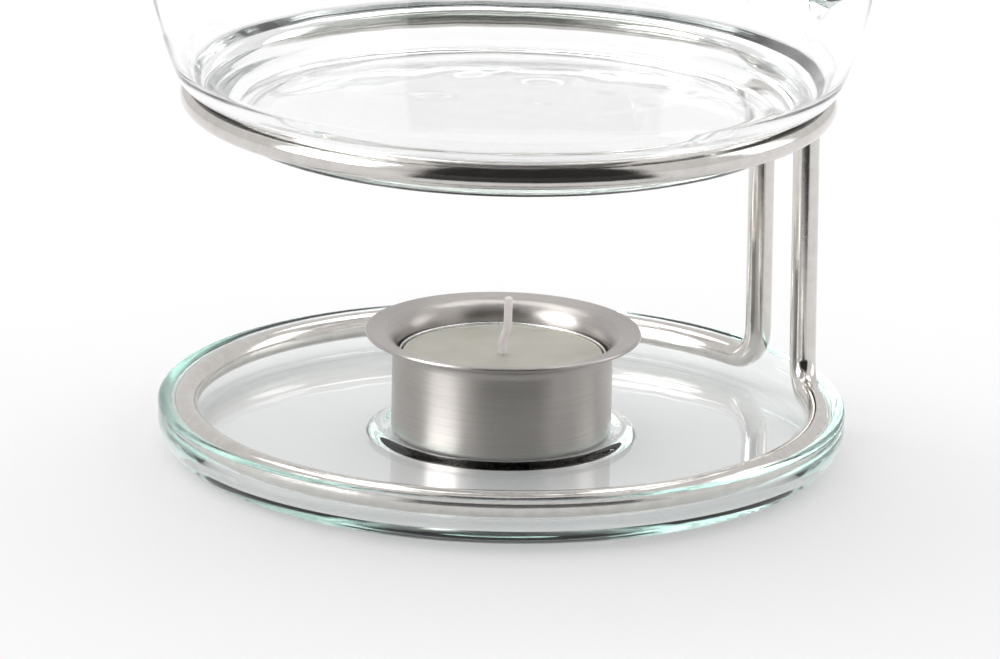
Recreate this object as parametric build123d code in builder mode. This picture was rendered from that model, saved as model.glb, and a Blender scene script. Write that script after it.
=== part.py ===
from build123d import *
from math import atan2, cos, degrees, radians, sin, sqrt
import os

# A glass teapot on its tealight warmer.  Millimetres, +Z up.  The origin is on the warmer's axis
# where the glass dish stands on the table.  The spout points along -X and the handle along +X.

os.makedirs("parts", exist_ok=True)

# ---- driving dimensions ---------------------------------------------------------------------

# glass dish
dish_r = 64.8
dish_floor = 3.0
dish_foot_r = 55.8
dish_outer_curve = 9.0
dish_inner_curve = 7.0
dish_inner_curve_r = 56.35
dish_rim_z = 8.9
dish_rim_crown = 0.7
bead_r = 23.2
bead_half_width = 1.9
bead_height = 2.1

# bent wire frame
wire_d = 5.0
low_ring_r = 59.75
low_ring_z = 7.5
top_ring_r = 58.7
top_ring_z = 68.4
bend_r = 6.5
bend_run = 7.0
upright_angles = (51.7, 69.2)

# candle holder
holder_r = 20.8
holder_wall = 0.8
holder_flare = 3.6
holder_lip_r = 26.1
holder_lip_rise = 10.0
holder_rim_z = 22.7
holder_foot_fillet = 1.2

# tealight
shell_r = 19.6
shell_wall = 0.3
shell_foot_fillet = 1.0
wax_top_z = 18.2
wax_gap = 0.05
wax_foot_fillet = 0.8
sustainer_r = 6.2
sustainer_plate = 0.3
sustainer_inset = 0.2
collar_r = 1.3
collar_height = 3.0
wick_d = 1.7
wick_lean_angle = 34.5
wick_bend_r = 2.5
wick_kink_rise = 1.4
wick_lean = ((0.8, 5.0), (1.0, 11.0))

# pot body
glass = 2.0
pot_base_z = 62.6
pot_punt = 0.8
pot_foot_r = 51.3
pot_foot_curve = 3.6
seat_gap = 0.3
seat_end_angle = 72
seat_slope = (1.0, -0.1)
heel_z = 73.2
heel_slope = (0.38, 1.0)
heel_pull = (0.6, 0.6)
wall_curve = 77.1
belly_r = 68.3
belly_z = 103.3
shoulder_curve = 55.0
shoulder_slope = (-0.5, 0.3)
neck_r = 40.0
neck_flare = 2.1
neck_rise = 5.4
neck_slope = (0, 1)
neck_pull = (0.8, 0.8)
pot_rim_z = 162.0
lip_d = 3.0
inner_floor_r = 46.0
inner_floor_slope = (1.0, 0.02)
inner_corner = (52.0, 67.9)
inner_heel_rise = 2.6

# spout: for each section its centre (x, z), its tilt above level and its outer radius
spout_wall = 1.8
spout_sections = (
    ((-52.0, 97.0), 18.0, 17.5),
    ((-72.0, 105.0), 36.0, 13.5),
    ((-85.0, 118.0), 53.0, 10.2),
    ((-94.0, 134.0), 60.0, 8.2),
    ((-105.0, 151.0), 50.0, 7.4),
)

# handle
handle_d = 11.0
handle_route = ((60.0, 91.7), (84.0, 127.7), (111.0, 148.5), (100.0, 166.0), (38.0, 143.8))
handle_bends = (40.0, 11.0, 11.0)
root_blob_depth = 6.0
root_blob_r = 7.6
low_root = (67.6, 103.4)
top_root = (49.5, 147.9)

# infuser
basket_r = 33.0
basket_wall = 0.6
basket_base_z = 100.0
flange_r = 41.2
flange_thickness = 1.0
flange_edge = 0.4
collar_depth = 9.0

# lid
lid_r = 40.6
lid_edge = 2.2
lid_dome = 9.0
lid_skirt_r = 30.5
lid_skirt_depth = 9.0
lid_glass = 2.2
knob_r = 11.5
knob_rise = 10.9
knob_neck_r = 6.3
knob_stem_r = 5.5


def polar(radius, angle, z):
    """A point at a radius and an angle in degrees from +X."""
    return Vector(radius * cos(radians(angle)), radius * sin(radians(angle)), z)


def finish(part, label):
    """Name a piece and write it to its own STEP file."""
    part.label = label
    export_step(part, f"parts/{label}.step")


# ---- glass dish and the locating bead pressed in its floor ----------------------------------

outer_rim = (dish_r, dish_rim_z)
inner_rim_r = dish_inner_curve_r + sqrt(
    dish_inner_curve**2 - (dish_floor + dish_inner_curve - dish_rim_z) ** 2
)
quarter = sqrt(0.5)

with BuildPart() as base_plate:
    with BuildSketch(Plane.XZ):
        with BuildLine():
            Line((0, 0), (dish_foot_r, 0))
            ThreePointArc(
                (dish_foot_r, 0),
                (
                    dish_foot_r + dish_outer_curve * quarter,
                    dish_outer_curve * (1 - quarter),
                ),
                outer_rim,
            )
            ThreePointArc(
                outer_rim,
                ((dish_r + inner_rim_r) / 2, dish_rim_z + dish_rim_crown),
                (inner_rim_r, dish_rim_z),
            )
            ThreePointArc(
                (inner_rim_r, dish_rim_z),
                (
                    dish_inner_curve_r + dish_inner_curve * quarter,
                    dish_floor + dish_inner_curve * (1 - quarter),
                ),
                (dish_inner_curve_r, dish_floor),
            )
            Line((dish_inner_curve_r, dish_floor), (0, dish_floor))
            Line((0, dish_floor), (0, 0))
        make_face()
    revolve(axis=Axis.Z)
finish(base_plate.part, "base_plate")

# The bead is part of the same pressing.  It is a node of its own so that collision keeps the low
# floor inside it.
with BuildPart() as plate_bead:
    with BuildSketch(Plane.XZ):
        with BuildLine():
            ThreePointArc(
                (bead_r + bead_half_width, dish_floor),
                (bead_r, dish_floor + bead_height),
                (bead_r - bead_half_width, dish_floor),
            )
            Line((bead_r - bead_half_width, dish_floor), (bead_r + bead_half_width, dish_floor))
        make_face()
    revolve(axis=Axis.Z)
finish(plate_bead.part, "plate_bead")

# ---- wire frame: two open rings joined by two uprights, one closed loop of wire -------------

ring_end_offset = degrees(atan2(bend_run, low_ring_r))
first_end = upright_angles[0] - ring_end_offset
last_end = upright_angles[1] + ring_end_offset
ring_sweep = 360 - (last_end - first_end)


def upright_route(end_angle, side):
    """Points from the low ring's end, out along its tangent, up, and back to the top ring."""
    tangent = Vector(-sin(radians(end_angle)), cos(radians(end_angle)), 0) * side
    low_end = polar(low_ring_r, end_angle, low_ring_z)
    top_end = polar(top_ring_r, end_angle, top_ring_z)
    return low_end, low_end + tangent * bend_run, top_end + tangent * bend_run, top_end


with BuildPart() as wire_frame:
    with BuildLine() as wire_route:
        with BuildLine(Plane.XY.offset(low_ring_z)):
            CenterArc((0, 0), low_ring_r, last_end, ring_sweep)
        with BuildLine(Plane.XY.offset(top_ring_z)):
            CenterArc((0, 0), top_ring_r, last_end, ring_sweep)
        FilletPolyline(*upright_route(first_end, 1), radius=bend_r)
        FilletPolyline(*upright_route(last_end, -1), radius=bend_r)
    low_middle = (first_end + last_end) / 2 + 180
    section_plane = Plane(
        origin=polar(low_ring_r, low_middle, low_ring_z),
        z_dir=polar(1, low_middle + 90, 0),
    )
    with BuildSketch(section_plane):
        Circle(wire_d / 2)
    sweep(path=wire_route.wires()[0])
finish(wire_frame.part, "wire_frame")

# ---- candle holder: spun steel cup with a flared lip ----------------------------------------

holder_bore = holder_r - holder_wall
flare_r = holder_bore + holder_flare
lean = radians(holder_lip_rise)
flare_z = (
    holder_rim_z
    - holder_flare * cos(lean)
    - (holder_lip_r - flare_r + holder_flare * sin(lean)) * sin(lean)
)
flare_end_angle = 90 + holder_lip_rise
flare_out = holder_flare - holder_wall
holder_base_z = dish_floor
flare_middle = (180 + flare_end_angle) / 2


def flare_point(radius, angle):
    """A point on the flare's section, at an angle about the centre of its curve."""
    return (flare_r + radius * cos(radians(angle)), flare_z + radius * sin(radians(angle)))


with BuildPart() as candle_holder:
    with BuildSketch(Plane.XZ):
        with BuildLine():
            Line((0, holder_base_z), (holder_r, holder_base_z))
            Line((holder_r, holder_base_z), flare_point(flare_out, 180))
            ThreePointArc(
                flare_point(flare_out, 180),
                flare_point(flare_out, flare_middle),
                flare_point(flare_out, flare_end_angle),
            )
            lip_low = PolarLine(
                flare_point(flare_out, flare_end_angle),
                holder_lip_r - flare_r + flare_out * sin(lean),
                holder_lip_rise,
            )
            lip_high = PolarLine(
                flare_point(holder_flare, flare_end_angle),
                holder_lip_r - flare_r + holder_flare * sin(lean),
                holder_lip_rise,
            )
            Line(lip_low @ 1, lip_high @ 1)
            ThreePointArc(
                flare_point(holder_flare, flare_end_angle),
                flare_point(holder_flare, flare_middle),
                flare_point(holder_flare, 180),
            )
            Line(flare_point(holder_flare, 180), (holder_bore, holder_base_z + holder_wall))
            Line((holder_bore, holder_base_z + holder_wall), (0, holder_base_z + holder_wall))
            Line((0, holder_base_z + holder_wall), (0, holder_base_z))
        make_face()
    revolve(axis=Axis.Z)
    fillet(candle_holder.edges().group_by(Axis.Z)[0], holder_foot_fillet)
finish(candle_holder.part, "candle_holder")

# ---- tealight: aluminium shell, wick sustainer, wick and wax --------------------------------

tealight_z = holder_base_z + holder_wall
cavity_z = tealight_z + shell_wall
cavity_r = shell_r - shell_wall
shell_height = wax_top_z - tealight_z + shell_wall
wick_foot_z = cavity_z + sustainer_plate

with BuildPart() as tealight_shell:
    with BuildSketch(Plane.XY.offset(tealight_z)):
        Circle(shell_r)
    extrude(amount=shell_height)
    with BuildSketch(Plane.XY.offset(cavity_z)):
        Circle(cavity_r)
    extrude(amount=shell_height, mode=Mode.SUBTRACT)
    fillet(tealight_shell.edges().group_by(Axis.Z)[0], shell_foot_fillet)
finish(tealight_shell.part, "tealight_shell")

with BuildPart() as wick_sustainer:
    with BuildSketch(Plane.XY.offset(cavity_z)):
        Circle(sustainer_r)
    extrude(amount=sustainer_plate)
    with BuildSketch(Plane.XY.offset(wick_foot_z)):
        Circle(collar_r)
        Circle(wick_d / 2 + wax_gap, mode=Mode.SUBTRACT)
    extrude(amount=collar_height)
finish(wick_sustainer.part, "wick_sustainer")

# The wick stands straight in the wax, kinks just above it and leans to one side.
wick_route = [Vector(0, 0, wick_foot_z), Vector(0, 0, wax_top_z + wick_kink_rise)]
wick_route += [polar(out, wick_lean_angle, wax_top_z + rise) for out, rise in wick_lean]
with BuildPart() as wick:
    with BuildLine() as wick_line:
        FilletPolyline(*wick_route, radius=wick_bend_r)
    with BuildSketch(Plane.XY.offset(wick_foot_z)):
        Circle(wick_d / 2)
    sweep(path=wick_line.wires()[0])
finish(wick.part, "wick")

with BuildPart() as wax:
    with BuildSketch(Plane.XY.offset(cavity_z)):
        Circle(cavity_r - wax_gap)
    extrude(amount=wax_top_z - cavity_z)
    fillet(wax.edges().group_by(Axis.Z)[0], wax_foot_fillet)
    with BuildSketch(Plane.XY.offset(cavity_z)):
        Circle(sustainer_r + sustainer_inset)
    extrude(amount=sustainer_plate, mode=Mode.SUBTRACT)
    with BuildSketch(Plane.XY.offset(wick_foot_z)):
        Circle(collar_r + wax_gap)
    extrude(amount=collar_height, mode=Mode.SUBTRACT)
    with BuildSketch(Plane.XY.offset(wick_foot_z)):
        Circle(wick_d / 2 + wax_gap)
    extrude(amount=wax_top_z, mode=Mode.SUBTRACT)
finish(wax.part, "wax")

# ---- pot body: blown glass bowl whose stepped foot drops into the top ring ------------------

wall_centre_r = belly_r - wall_curve
shoulder_centre_r = belly_r - shoulder_curve
seat_r = wire_d / 2 + seat_gap
seat_start = (top_ring_r - seat_r, top_ring_z)


def wall_r(z, inset=0.0):
    """Radius of the outer wall below the belly, less an inset along its normal."""
    return wall_centre_r + sqrt((wall_curve - inset) ** 2 - (belly_z - z) ** 2)


def shoulder_r(z, inset=0.0):
    """Radius of the shoulder above the belly, less an inset along its normal."""
    return shoulder_centre_r + sqrt((shoulder_curve - inset) ** 2 - (z - belly_z) ** 2)


def seat_point(angle):
    """A point on the groove that sits over the wire of the top ring."""
    return (
        top_ring_r + seat_r * cos(radians(angle)),
        top_ring_z + seat_r * sin(radians(angle)),
    )


foot_corner = (pot_foot_r + pot_foot_curve, pot_base_z + pot_foot_curve)
shoulder_top_r = neck_r + neck_flare
shoulder_top_z = belly_z + sqrt(shoulder_curve**2 - (shoulder_top_r - shoulder_centre_r) ** 2)
collar_z = shoulder_top_z + neck_rise
foot_middle = (
    pot_foot_r + pot_foot_curve * quarter,
    pot_base_z + pot_foot_curve * (1 - quarter),
)
inner_foot_z = pot_base_z + glass
inner_heel_z = heel_z + inner_heel_rise
middle_wall_z = (heel_z + belly_z) / 2
middle_shoulder_z = (shoulder_top_z + belly_z) / 2
bore_r = neck_r - glass


def pot_outline():
    """Outer section of the pot from the middle of its base up to the rim's edge."""
    TangentArc((0, pot_base_z + pot_punt), (pot_foot_r, pot_base_z), tangent=(1, 0))
    ThreePointArc((pot_foot_r, pot_base_z), foot_middle, foot_corner)
    Line(foot_corner, seat_start)
    ThreePointArc(seat_start, seat_point((180 + seat_end_angle) / 2), seat_point(seat_end_angle))
    Spline(
        seat_point(seat_end_angle),
        (wall_r(heel_z), heel_z),
        tangents=(seat_slope, heel_slope),
        tangent_scalars=heel_pull,
    )
    ThreePointArc(
        (wall_r(heel_z), heel_z),
        (wall_r(middle_wall_z), middle_wall_z),
        (belly_r, belly_z),
    )
    ThreePointArc(
        (belly_r, belly_z),
        (shoulder_r(middle_shoulder_z), middle_shoulder_z),
        (shoulder_top_r, shoulder_top_z),
    )
    Spline(
        (shoulder_top_r, shoulder_top_z),
        (neck_r, collar_z),
        tangents=(shoulder_slope, neck_slope),
        tangent_scalars=neck_pull,
    )
    Line((neck_r, collar_z), (neck_r, pot_rim_z - lip_d))


with BuildPart() as pot_solid:
    with BuildSketch(Plane.XZ):
        with BuildLine():
            pot_outline()
            Line((neck_r, pot_rim_z - lip_d), (neck_r, pot_rim_z))
            Line((neck_r, pot_rim_z), (0, pot_rim_z))
            Line((0, pot_rim_z), (0, pot_base_z + pot_punt))
        make_face()
    revolve(axis=Axis.Z)

with BuildPart() as pot_cavity:
    with BuildSketch(Plane.XZ):
        with BuildLine():
            TangentArc(
                (0, inner_foot_z + pot_punt), (inner_floor_r, inner_foot_z), tangent=(1, 0)
            )
            Spline(
                (inner_floor_r, inner_foot_z),
                inner_corner,
                (wall_r(inner_heel_z, glass), inner_heel_z),
                tangents=(inner_floor_slope, heel_slope),
            )
            ThreePointArc(
                (wall_r(inner_heel_z, glass), inner_heel_z),
                (wall_r(middle_wall_z, glass), middle_wall_z),
                (belly_r - glass, belly_z),
            )
            ThreePointArc(
                (belly_r - glass, belly_z),
                (shoulder_r(middle_shoulder_z, glass), middle_shoulder_z),
                (shoulder_r(shoulder_top_z, glass), shoulder_top_z),
            )
            Spline(
                (shoulder_r(shoulder_top_z, glass), shoulder_top_z),
                (bore_r, collar_z),
                tangents=(shoulder_slope, neck_slope),
                tangent_scalars=neck_pull,
            )
            Line((bore_r, collar_z), (bore_r, pot_rim_z))
            Line((bore_r, pot_rim_z), (0, pot_rim_z))
            Line((0, pot_rim_z), (0, inner_foot_z + pot_punt))
        make_face()
    revolve(axis=Axis.Z)

# ---- spout: tapered tube fused over a hole in the wall --------------------------------------


def spout_plane(section):
    """The plane of one spout section, square to the spout's centre line."""
    (x, z), tilt, radius = section
    return Plane(
        origin=(x, 0, z),
        x_dir=(0, 1, 0),
        z_dir=(-cos(radians(tilt)), 0, sin(radians(tilt))),
    )


with BuildPart() as spout_bore:
    for section in spout_sections:
        with BuildSketch(spout_plane(section)):
            Circle(section[2] - spout_wall)
    loft()

with BuildPart() as spout:
    for section in spout_sections:
        with BuildSketch(spout_plane(section)):
            Circle(section[2])
    loft()
    add(spout_bore.part, mode=Mode.SUBTRACT)
    add(pot_solid.part, mode=Mode.SUBTRACT)
finish(spout.part.solids().sort_by(Axis.X)[0], "spout")

with BuildPart() as pot_wall:
    add(pot_solid.part)
    with BuildSketch(Plane.XZ):
        with Locations((neck_r, pot_rim_z - lip_d / 2)):
            Circle(lip_d / 2)
    revolve(axis=Axis.Z)
    add(pot_cavity.part, mode=Mode.SUBTRACT)
    add(spout_bore.part, mode=Mode.SUBTRACT)

# The pot is one blown piece.  Its bowl, shoulder and neck are nodes of their own so that
# collision stays open inside it.
widest = Plane.XY.offset(belly_z)
collar = Plane.XY.offset(collar_z)

with BuildPart() as pot_body:
    add(pot_wall.part)
    split(bisect_by=widest, keep=Keep.BOTTOM)
finish(pot_body.part, "pot_body")

with BuildPart() as pot_shoulder:
    add(pot_wall.part)
    split(bisect_by=widest, keep=Keep.TOP)
    split(bisect_by=collar, keep=Keep.BOTTOM)
finish(pot_shoulder.part, "pot_shoulder")

with BuildPart() as pot_neck:
    add(pot_wall.part)
    split(bisect_by=collar, keep=Keep.TOP)
finish(pot_neck.part, "pot_neck")

# ---- handle: solid glass rod fused to the wall at two drawn-out blobs -----------------------

with BuildPart() as handle:
    with BuildLine() as handle_line:
        FilletPolyline(*[(x, 0, z) for x, z in handle_route], radius=handle_bends)
    with BuildSketch(Plane(origin=handle_line.wires()[0] @ 0, z_dir=handle_line.wires()[0] % 0)):
        Circle(handle_d / 2)
    sweep(path=handle_line.wires()[0])
    for root_x, root_z in (low_root, top_root):
        with BuildSketch(Plane.XZ):
            with Locations((root_x, root_z)):
                Ellipse(root_blob_depth, root_blob_r)
            with Locations((root_x, root_z - root_blob_r)):
                Rectangle(3 * root_blob_depth, 2 * root_blob_r, mode=Mode.SUBTRACT)
        revolve(axis=Axis((root_x, 0, root_z), (1, 0, 0)))
    add(pot_solid.part, mode=Mode.SUBTRACT)
finish(handle.part.solids().sort_by(Axis.X)[-1], "handle")

# ---- infuser: flange and collar, perforated basket, perforated base -------------------------

flange_z = pot_rim_z
basket_top_z = flange_z - collar_depth
basket_bore = basket_r - basket_wall

with BuildPart() as infuser_rim:
    with BuildSketch(Plane.XY.offset(flange_z)):
        Circle(flange_r)
        Circle(basket_bore, mode=Mode.SUBTRACT)
    extrude(amount=flange_thickness)
    with BuildSketch(Plane.XY.offset(flange_z)):
        Circle(basket_r)
        Circle(basket_bore, mode=Mode.SUBTRACT)
    extrude(amount=-collar_depth)
    fillet(infuser_rim.edges().group_by(Axis.Z)[-1].sort_by(SortBy.RADIUS)[-1], flange_edge)
finish(infuser_rim.part, "infuser_rim")

with BuildPart() as infuser_basket:
    with BuildSketch(Plane.XY.offset(basket_base_z)):
        Circle(basket_r)
        Circle(basket_bore, mode=Mode.SUBTRACT)
    extrude(amount=basket_top_z - basket_base_z)
finish(infuser_basket.part, "infuser_basket")

with BuildPart() as infuser_base:
    with BuildSketch(Plane.XY.offset(basket_base_z - basket_wall)):
        Circle(basket_r)
    extrude(amount=basket_wall)
finish(infuser_base.part, "infuser_base")

# ---- lid: domed glass disc, the locating skirt fused under it, and a glass knob -------------

lid_z = flange_z + flange_thickness
lid_top_z = lid_z + lid_edge
dome_crown_z = lid_top_z + lid_dome

with BuildPart() as lid:
    with BuildSketch(Plane.XZ):
        with BuildLine():
            ThreePointArc(
                (lid_r - lid_edge / 2, lid_z),
                (lid_r, lid_z + lid_edge / 2),
                (lid_r - lid_edge / 2, lid_top_z),
            )
            Line((lid_r - lid_edge / 2, lid_top_z), (lid_skirt_r, lid_top_z))
            TangentArc((0, dome_crown_z), (lid_skirt_r, lid_top_z), tangent=(1, 0))
            Line((0, dome_crown_z), (0, dome_crown_z - lid_glass))
            TangentArc(
                (0, dome_crown_z - lid_glass), (lid_skirt_r - lid_glass, lid_z), tangent=(1, 0)
            )
            Line((lid_skirt_r - lid_glass, lid_z), (lid_r - lid_edge / 2, lid_z))
        make_face()
    revolve(axis=Axis.Z)
finish(lid.part, "lid")

with BuildPart() as lid_skirt:
    with BuildSketch(Plane.XY.offset(lid_z)):
        Circle(lid_skirt_r)
        Circle(lid_skirt_r - lid_glass, mode=Mode.SUBTRACT)
    extrude(amount=-lid_skirt_depth)
finish(lid_skirt.part, "lid_skirt")

knob_centre_z = dome_crown_z + knob_rise
knob_neck = (knob_neck_r, knob_centre_z - sqrt(knob_r**2 - knob_neck_r**2))
with BuildPart() as lid_knob:
    with BuildSketch(Plane.XZ):
        with BuildLine():
            Line((0, dome_crown_z - lid_glass), (0, knob_centre_z + knob_r))
            TangentArc((0, knob_centre_z + knob_r), knob_neck, tangent=(1, 0))
            Line(knob_neck, (knob_stem_r, dome_crown_z - lid_glass))
            Line((knob_stem_r, dome_crown_z - lid_glass), (0, dome_crown_z - lid_glass))
        make_face()
    revolve(axis=Axis.Z)
    add(lid.part, mode=Mode.SUBTRACT)
finish(lid_knob.part.solids().sort_by(Axis.Z)[-1], "lid_knob")
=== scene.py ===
from math import acos, asin, atan2, cos, degrees, exp, hypot, pi, radians, sin, sqrt, tan

import bmesh
import bpy
from mathutils import Matrix, Vector, noise


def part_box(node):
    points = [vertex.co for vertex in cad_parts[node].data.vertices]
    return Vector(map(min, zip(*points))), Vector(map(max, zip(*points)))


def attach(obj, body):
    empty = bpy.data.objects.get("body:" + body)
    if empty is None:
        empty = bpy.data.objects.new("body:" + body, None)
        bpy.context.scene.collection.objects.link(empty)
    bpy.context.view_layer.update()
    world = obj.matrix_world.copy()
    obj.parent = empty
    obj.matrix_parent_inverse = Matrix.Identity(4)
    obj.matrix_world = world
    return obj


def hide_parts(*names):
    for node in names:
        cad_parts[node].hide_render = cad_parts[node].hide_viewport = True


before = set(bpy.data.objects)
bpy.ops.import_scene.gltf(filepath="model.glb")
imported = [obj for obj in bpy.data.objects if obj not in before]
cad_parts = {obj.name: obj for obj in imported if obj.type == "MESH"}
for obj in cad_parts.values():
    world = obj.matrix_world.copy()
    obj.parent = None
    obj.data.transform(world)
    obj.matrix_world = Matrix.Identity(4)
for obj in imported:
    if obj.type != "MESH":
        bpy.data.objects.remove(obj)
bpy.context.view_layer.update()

# Everything stands in the frame of the CAD model.  Outlines, routes and the named sizes of the
# object's pieces are in millimetres and become metres through MM.  The table, the lights, the
# camera and the distances inside materials are in metres.
MM = 0.001
AROUND = 256


# ---- mesh helpers -----------------------------------------------------------------------------


def new_object(name, mesh):
    """An object for a mesh, linked into the scene."""
    piece = bpy.data.objects.new(name, mesh)
    bpy.context.scene.collection.objects.link(piece)
    return piece


def shade(piece, angle=35):
    """Smooth shading, with edges sharper than the angle kept crisp."""
    piece.data.shade_smooth()
    piece.data.set_sharp_from_angle(angle=radians(angle))


def steps(start, end, count):
    """Evenly spaced values, both ends included."""
    return [start + (end - start) * i / count for i in range(count + 1)]


def arc(centre, radius, start, end, count):
    """Points of an arc, from one angle in degrees to another."""
    points = []
    for i in range(count + 1):
        a = radians(start + (end - start) * i / count)
        points.append((centre[0] + radius * cos(a), centre[1] + radius * sin(a)))
    return points


def line(start, end, count):
    """Points of a straight run, without its first point."""
    shares = [i / count for i in range(1, count + 1)]
    return [(start[0] + (end[0] - start[0]) * t, start[1] + (end[1] - start[1]) * t) for t in shares]


def bezier(p0, p1, p2, p3, count):
    """Points of a cubic curve, without its first point."""
    points = []
    for i in range(1, count + 1):
        t = i / count
        a, b, c, d = (1 - t) ** 3, 3 * t * (1 - t) ** 2, 3 * t * t * (1 - t), t**3
        points.append(
            (
                a * p0[0] + b * p1[0] + c * p2[0] + d * p3[0],
                a * p0[1] + b * p1[1] + c * p2[1] + d * p3[1],
            )
        )
    return points


def lathe(name, outline, around=AROUND, unit=MM, ripple=None):
    """A closed body turned from an outline of (radius, height) points, listed so that the
    material is on the left.  ripple(radius, height, angle) may add to a point's radius and
    height."""
    mesh = bmesh.new()
    rings = []
    for radius, height in outline:
        if radius < 1e-6:
            rings.append([mesh.verts.new((0, 0, height * unit))])
            continue
        ring = []
        for i in range(around):
            a = 2 * pi * i / around
            dr, dz = ripple(radius, height, a) if ripple else (0, 0)
            r = (radius + dr) * unit
            ring.append(mesh.verts.new((r * cos(a), r * sin(a), (height + dz) * unit)))
        rings.append(ring)
    closed = len(rings[0]) > 1 and len(rings[-1]) > 1
    pairs = list(zip(rings, rings[1:])) + ([(rings[-1], rings[0])] if closed else [])
    for low, high in pairs:
        for i in range(around):
            j = (i + 1) % around
            corners = [low[i % len(low)], low[j % len(low)], high[j % len(high)], high[i % len(high)]]
            unique = list(dict.fromkeys(corners))
            if len(unique) > 2:
                mesh.faces.new(unique)
    bmesh.ops.recalc_face_normals(mesh, faces=mesh.faces)
    data = bpy.data.meshes.new(name)
    mesh.to_mesh(data)
    mesh.free()
    return new_object(name, data)


def frames_along(points, closed):
    """A smoothly turning pair of cross directions at each point of a route."""
    count = len(points)
    tangents = []
    for i in range(count):
        before = points[i - 1] if i or closed else points[0]
        after = points[(i + 1) % count] if i < count - 1 or closed else points[-1]
        tangents.append((after - before).normalized())
    side = tangents[0].orthogonal().normalized()
    frames = []
    for t in tangents:
        side = (side - t * side.dot(t)).normalized()
        frames.append((side.copy(), t.cross(side)))
    return frames


def tube(name, points, radius, sides=48, closed=False, swell=None):
    """A round body along a route.  radius is a number, or one for each point, and
    swell(fraction, angle) may scale it."""
    mesh = bmesh.new()
    rings = []
    frames = frames_along(points, closed)
    for i, (point, (u, v)) in enumerate(zip(points, frames)):
        t = i / (len(points) - 1)
        ring = []
        for k in range(sides):
            a = 2 * pi * k / sides
            r = radius[i] if isinstance(radius, list) else radius
            r *= swell(t, a) if swell else 1
            ring.append(mesh.verts.new(point + (u * cos(a) + v * sin(a)) * r))
        rings.append(ring)
    if closed:
        # The last ring meets the first with the fewest twist steps.
        gap = [(rings[-1][0].co - v.co).length for v in rings[0]]
        twist = gap.index(min(gap))
        rings.append([rings[0][(k + twist) % sides] for k in range(sides)])
    for low, high in zip(rings, rings[1:]):
        for k in range(sides):
            j = (k + 1) % sides
            mesh.faces.new((low[k], low[j], high[j], high[k]))
    if not closed:
        mesh.faces.new(rings[0][::-1])
        mesh.faces.new(rings[-1])
    bmesh.ops.recalc_face_normals(mesh, faces=mesh.faces)
    data = bpy.data.meshes.new(name)
    mesh.to_mesh(data)
    mesh.free()
    return new_object(name, data)


def combine(piece, other, operation):
    """Joins another closed body to a piece, or cuts it away, and removes the other."""
    modifier = piece.modifiers.new("combine", "BOOLEAN")
    modifier.operation = operation
    modifier.solver = "MANIFOLD"
    modifier.object = other
    graph = bpy.context.evaluated_depsgraph_get()
    data = bpy.data.meshes.new_from_object(piece.evaluated_get(graph))
    piece.modifiers.clear()
    piece.data = data
    bpy.data.objects.remove(other)
    return piece


def top(node):
    """Highest z of a CAD node."""
    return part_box(node)[1][2] / MM


def bottom(node):
    """Lowest z of a CAD node."""
    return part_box(node)[0][2] / MM


def reach(node):
    """Radius of a CAD node that is round about the Z axis."""
    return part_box(node)[1][1] / MM


# ---- materials --------------------------------------------------------------------------------


def material(name):
    """A new node material: (material, nodes, links, its Principled shader, its output)."""
    made = bpy.data.materials.new(name)
    made.use_nodes = True
    nodes = made.node_tree.nodes
    return made, nodes, made.node_tree.links, nodes["Principled BSDF"], nodes["Material Output"]


def noise_node(nodes, links, vector, scale, detail=3.0, roughness=0.5):
    """A noise texture read at a vector socket."""
    texture = nodes.new("ShaderNodeTexNoise")
    texture.inputs["Scale"].default_value = scale
    texture.inputs["Detail"].default_value = detail
    texture.inputs["Roughness"].default_value = roughness
    links.new(vector, texture.inputs["Vector"])
    return texture.outputs["Fac"]


def object_vector(nodes, links, scale=(1, 1, 1)):
    """Object coordinates, stretched."""
    coordinates = nodes.new("ShaderNodeTexCoord")
    mapping = nodes.new("ShaderNodeMapping")
    mapping.inputs["Scale"].default_value = scale
    links.new(coordinates.outputs["Object"], mapping.inputs["Vector"])
    return mapping.outputs["Vector"]


def turned_vector(nodes, links, along=1.0, across=1.0):
    """Coordinates of a turned surface: slow round the axis, fast with radius and height."""
    coordinates = nodes.new("ShaderNodeTexCoord")
    split = nodes.new("ShaderNodeSeparateXYZ")
    links.new(coordinates.outputs["Object"], split.inputs["Vector"])
    flat = nodes.new("ShaderNodeCombineXYZ")
    links.new(split.outputs["X"], flat.inputs["X"])
    links.new(split.outputs["Y"], flat.inputs["Y"])
    length = nodes.new("ShaderNodeVectorMath")
    length.operation = "LENGTH"
    links.new(flat.outputs["Vector"], length.inputs[0])
    profile = nodes.new("ShaderNodeMath")
    profile.operation = "ADD"
    links.new(length.outputs["Value"], profile.inputs[0])
    links.new(split.outputs["Z"], profile.inputs[1])
    fast = nodes.new("ShaderNodeMath")
    fast.operation = "MULTIPLY"
    fast.inputs[1].default_value = across
    links.new(profile.outputs[0], fast.inputs[0])
    slow = nodes.new("ShaderNodeVectorMath")
    slow.operation = "SCALE"
    slow.inputs["Scale"].default_value = along
    links.new(flat.outputs["Vector"], slow.inputs[0])
    slow_split = nodes.new("ShaderNodeSeparateXYZ")
    links.new(slow.outputs["Vector"], slow_split.inputs["Vector"])
    joined = nodes.new("ShaderNodeCombineXYZ")
    links.new(slow_split.outputs["X"], joined.inputs["X"])
    links.new(slow_split.outputs["Y"], joined.inputs["Y"])
    links.new(fast.outputs[0], joined.inputs["Z"])
    return joined.outputs["Vector"]


def spread(nodes, links, value, low, high):
    """A 0 to 1 value spread over another range."""
    node = nodes.new("ShaderNodeMapRange")
    node.inputs["To Min"].default_value = low
    node.inputs["To Max"].default_value = high
    links.new(value, node.inputs["Value"])
    return node.outputs["Result"]


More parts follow.
